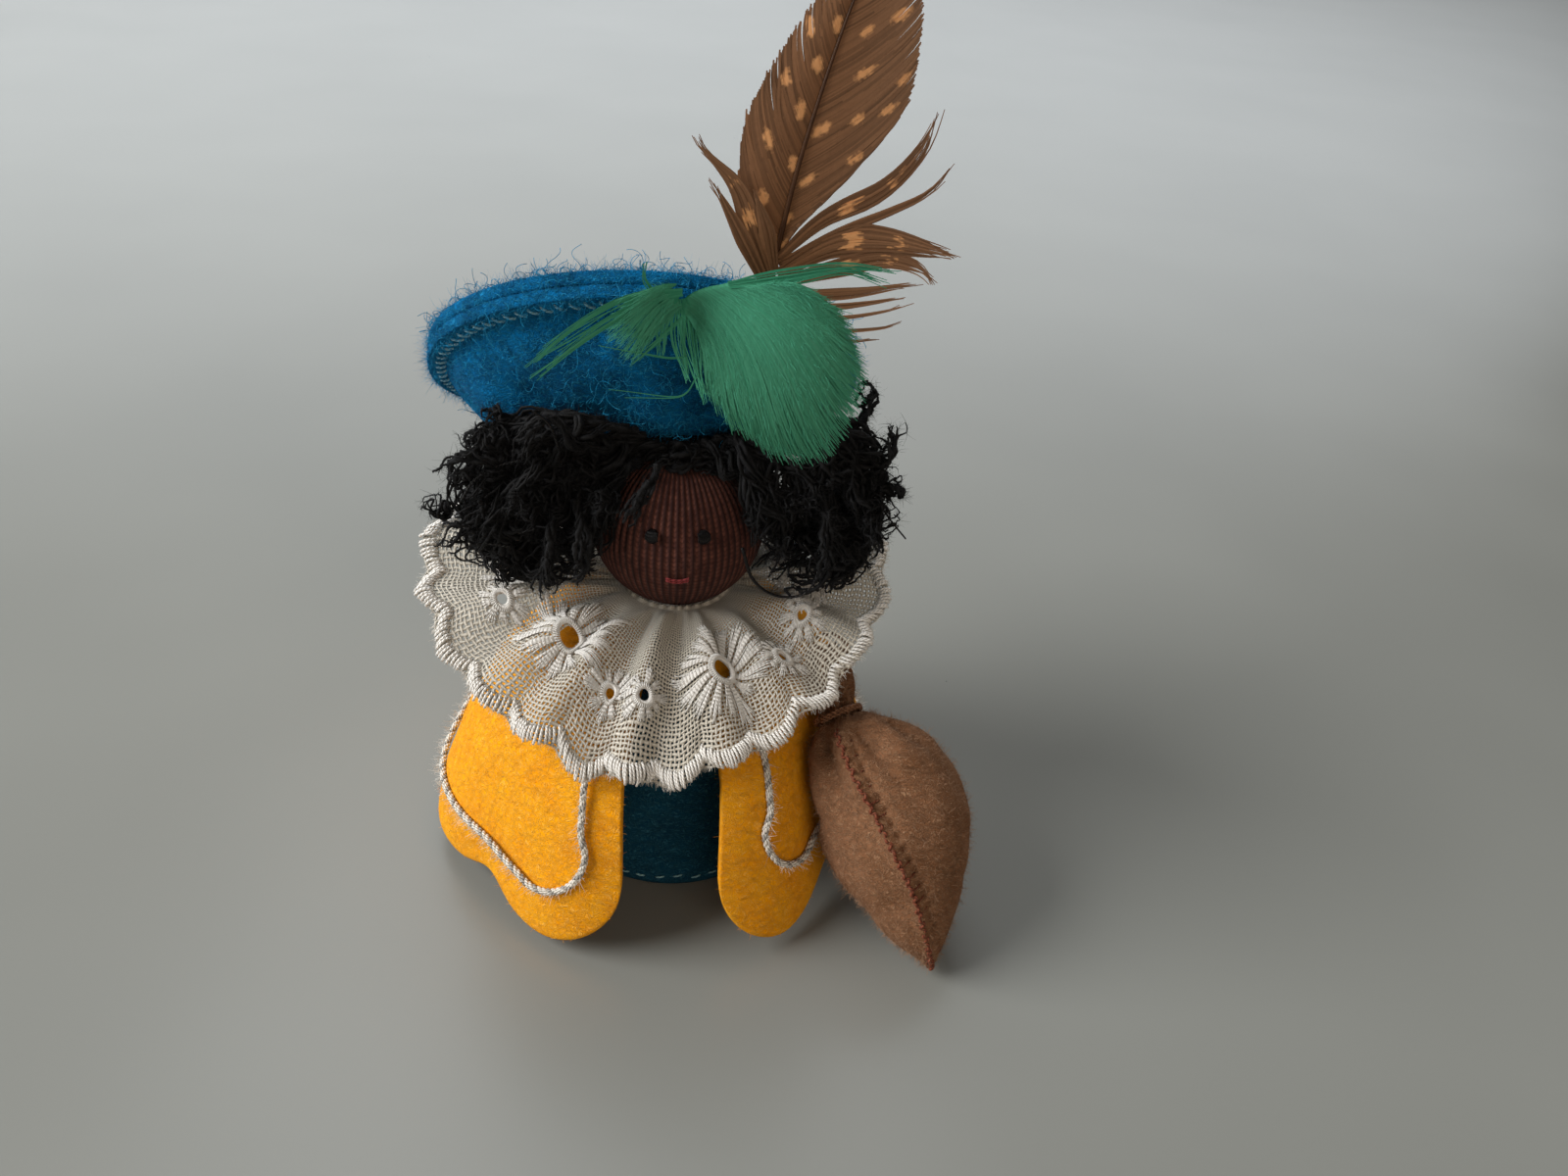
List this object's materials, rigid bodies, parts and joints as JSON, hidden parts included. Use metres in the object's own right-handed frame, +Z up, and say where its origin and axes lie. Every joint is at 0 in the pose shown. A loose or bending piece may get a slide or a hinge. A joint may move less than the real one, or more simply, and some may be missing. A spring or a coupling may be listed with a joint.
{
  "type": "felt figurine",
  "caption": "Small standing felt doll: stuffed cone body, knit-covered ball head, yarn hair, beret with feathers, lace collar, cape and a stuffed sack hanging at its side.",
  "frame": {"origin": "centre of the flat round base, on the table", "axes": "+Z up, the face looks along -Y, +X is on the viewer's right"},
  "size_m": [0.0661, 0.0589, 0.1071],
  "materials": {
    "body_blue_felt": "thick wool felt, matt, short fuzz",
    "card": null,
    "wadding": "loose wool wadding",
    "brown_knit": "fine ribbed jersey knit, matt",
    "head_wood": "plain turned wood, hidden in the knit",
    "brown_thread": "cotton thread",
    "eye_thread": "dark cotton thread",
    "mouth_thread": "muted red cotton thread",
    "cape_felt": "thick wool felt, matt, short fuzz",
    "white_cord": "twisted cord with a silver thread",
    "white_lace": "open cotton weave with satin-stitch embroidery",
    "white_thread": "cotton thread",
    "hat_blue_felt": "wool felt, matt, long fuzz at the rim",
    "black_yarn": "frizzy boucle yarn",
    "brown_feather": "feather vane with pale spots, soft sheen",
    "green_feather": "dyed fluffy feather, soft sheen",
    "tan_felt": "thin wool felt, matt, fuzzy",
    "rust_thread": "reddish-brown cotton thread",
    "tan_thread": "cotton thread"
  },
  "bodies": {
    "figure": {"body_felt": "body_blue_felt", "base_felt": "body_blue_felt", "base_card": "card", "body_stuffing": "wadding", "head_knit": "brown_knit", "head_core": "head_wood", "neck_tie": "brown_thread", "eye_left": "eye_thread", "eye_right": "eye_thread", "mouth_stitch": "mouth_thread", "cape_felt": "cape_felt", "cape_braid": "white_cord", "collar_lace": "white_lace", "collar_thread": "white_thread", "hat_under": "hat_blue_felt", "hat_crown": "hat_blue_felt", "hair_left": "black_yarn", "hair_right": "black_yarn", "hair_back": "black_yarn", "hair_fringe": "black_yarn", "brown_feather": "brown_feather", "green_feather": "green_feather", "sack_loop": "tan_thread"},
    "sack": {"sack_felt": "tan_felt", "sack_stuffing": "wadding", "sack_tie": "rust_thread"}
  },
  "joints": [
    {"name": "sack_swing", "type": "hinge", "parent": "figure", "child": "sack", "pos_m": [0.01871, -0.00364, 0.02875], "axis": [-0.1908, -0.9816, 0], "range_deg": [0, 60]}
  ]
}
